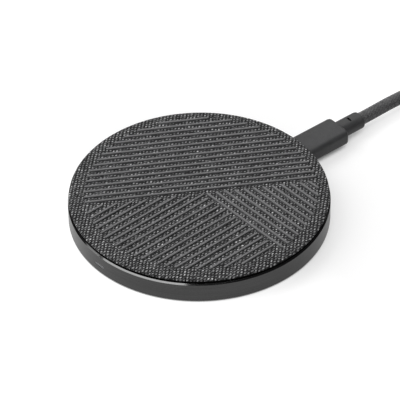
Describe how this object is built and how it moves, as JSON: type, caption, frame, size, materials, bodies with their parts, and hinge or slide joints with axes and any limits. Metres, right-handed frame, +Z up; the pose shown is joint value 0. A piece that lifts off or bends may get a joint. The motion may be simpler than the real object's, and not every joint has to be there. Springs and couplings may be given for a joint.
{
  "type": "wireless charging pad",
  "caption": "Round desk pad that charges a phone laid on it: fabric top with raised grip ribs, metal side ring, rubber foot and a removable braided USB-C lead.",
  "frame": {"origin": "middle of the pad's underside, on the table", "axes": "+Z up, out of the pad's top; +Y out of the USB-C socket, the way the lead leaves"},
  "size_m": [0.1338, 0.2147, 0.0216],
  "materials": {
    "knit_fabric": "heathered dark grey weave, matte",
    "rib_rubber": "smooth satin grey soft coating",
    "black_plastic": "fine moulded grain, matte",
    "gunmetal_alloy": "satin gunmetal anodised, polished bevel",
    "foot_silicone": "soft matte silicone",
    "zinc_steel": "bright zinc plating",
    "weight_steel": "plain rolled steel",
    "ferrite": "sintered, dull dark grey",
    "enamelled_copper": "lacquered copper strands",
    "foam": "open-cell foam",
    "bead_epoxy": "glossy epoxy",
    "board_laminate": "green solder mask, semi-gloss",
    "chip_epoxy": "moulded epoxy, matte",
    "choke_ferrite": "moulded iron powder",
    "ceramic": "fired ceramic, satin",
    "nickel_steel": "nickel-plated drawn steel",
    "lamp_body": "white lamp body",
    "clear_acrylic": "clear moulded acrylic",
    "grip_elastomer": "matte moulded elastomer",
    "cord_braid": "tight dark grey braid",
    "hook_tape": "black hook-and-loop tape",
    "white_nylon": "white moulded nylon"
  },
  "bodies": {
    "pad": {"fabric_cover": "knit_fabric", "grip_ribs": "rib_rubber", "top_plate": "black_plastic", "side_ring": "gunmetal_alloy", "base_cover": "black_plastic", "base_pad": "foot_silicone", "case_screws": "zinc_steel", "base_weight": "weight_steel", "coil_tray": "black_plastic", "ferrite_shield": "ferrite", "charging_coil": "enamelled_copper", "coil_leads": "enamelled_copper", "foam_pad": "foam", "thermistor": "bead_epoxy", "circuit_board": "board_laminate", "controller_chip": "chip_epoxy", "power_switches": "chip_epoxy", "power_inductor": "choke_ferrite", "resonant_capacitors": "ceramic", "small_passives": "ceramic", "usb_socket": "nickel_steel", "socket_tongue": "chip_epoxy", "status_led": "lamp_body", "light_pipe": "clear_acrylic"},
    "lead": {"plug_shell": "nickel_steel", "plug_insert": "chip_epoxy", "plug_overmould": "grip_elastomer", "strain_relief": "grip_elastomer", "cord_run": "cord_braid", "cord_coil": "cord_braid", "cord_tail": "cord_braid", "cord_tie": "hook_tape", "far_strain_relief": "grip_elastomer", "far_overmould": "grip_elastomer", "far_shell": "nickel_steel", "far_tongue": "white_nylon"}
  },
  "joints": [
    {"name": "plug_slide", "type": "slide", "parent": "pad", "child": "lead", "axis": [0, 1, 0], "range_m": [0, 0.01]}
  ]
}
